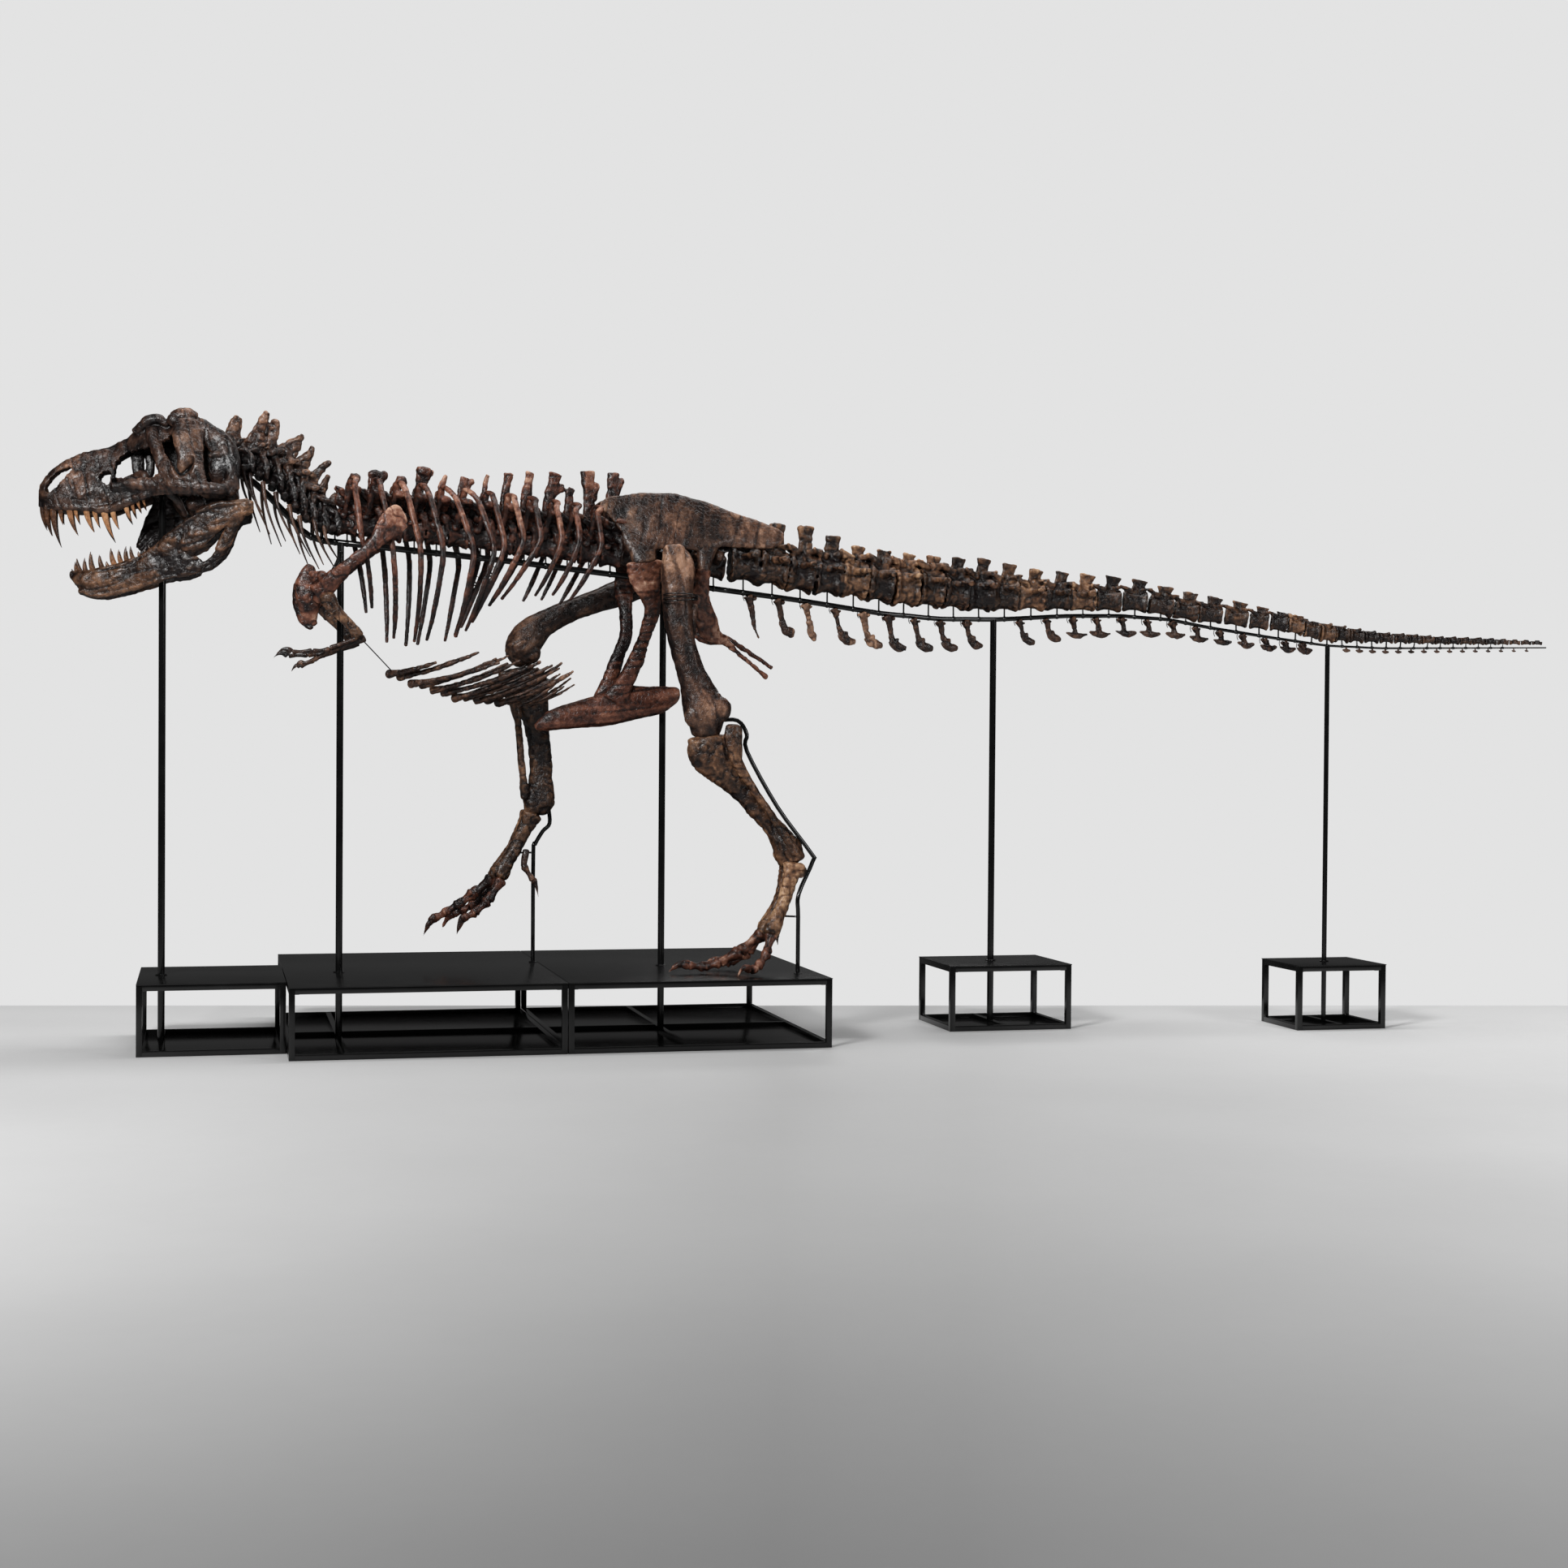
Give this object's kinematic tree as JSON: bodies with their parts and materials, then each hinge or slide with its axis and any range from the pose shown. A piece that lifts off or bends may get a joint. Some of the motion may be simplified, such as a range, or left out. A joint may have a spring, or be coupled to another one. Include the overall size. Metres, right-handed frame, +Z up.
{
  "type": "mounted tyrannosaur skeleton on steel stand",
  "caption": "Life-size mounted skeleton of a large tyrannosaur, walking with open jaws, on black steel platforms, poles and a rail under its backbone.",
  "frame": {"origin": "middle of the whole footprint, on the floor", "axes": "+X towards the tail tip, the animal looks towards -X; +Y towards its right side; +Z up"},
  "size_m": [11.1492, 2.52, 4.4474],
  "materials": {
    "bone_dark": "dark brown mineralised bone, satin with glossy high spots",
    "bone_red": "rust brown mineralised bone, satin",
    "bone_tan": "golden brown mineralised bone with dark stains, satin",
    "steel_black": "gloss black paint on steel"
  },
  "bodies": {
    "root": {"skull": "bone_dark", "neck_front": "bone_dark", "neck_rear": "bone_dark", "sacrum": "bone_dark", "ilium_left": "bone_dark", "ilium_right": "bone_dark", "femur_left": "bone_dark", "femur_right": "bone_dark", "gastralia": "bone_dark", "tail_1": "bone_dark", "tail_2": "bone_dark", "tail_3": "bone_dark", "tail_4": "bone_dark", "forearm_left": "bone_dark", "forearm_right": "bone_dark", "hand_left": "bone_dark", "hand_right": "bone_dark", "hallux_left": "bone_dark", "hallux_right": "bone_dark", "trunk_left": "bone_red", "trunk_right": "bone_red", "pubis": "bone_red", "ischium": "bone_red", "scapula_left": "bone_red", "scapula_right": "bone_red", "toe_2_left": "bone_red", "toe_3_left": "bone_red", "toe_4_left": "bone_red", "toe_2_right": "bone_red", "toe_3_right": "bone_red", "toe_4_right": "bone_red", "lower_jaw": "bone_tan", "tibia_left": "bone_tan", "tibia_right": "bone_tan", "fibula_left": "bone_tan", "fibula_right": "bone_tan", "metatarsus_left": "bone_tan", "metatarsus_right": "bone_tan", "humerus_left": "bone_tan", "humerus_right": "bone_tan", "stand_base_head": "steel_black", "stand_base_main_front": "steel_black", "stand_base_main_rear": "steel_black", "stand_base_tail_front": "steel_black", "stand_base_tail_rear": "steel_black", "stand_pole_head": "steel_black", "stand_pole_shoulder": "steel_black", "stand_pole_hip": "steel_black", "stand_pole_tail_front": "steel_black", "stand_pole_tail_rear": "steel_black", "stand_rail_neck": "steel_black", "stand_rail_trunk": "steel_black", "stand_rail_tail_front": "steel_black", "stand_rail_tail_rear": "steel_black", "stand_rod_leg_left": "steel_black", "stand_rod_leg_right": "steel_black", "stand_wire_belly": "steel_black"}
  },
  "joints": []
}
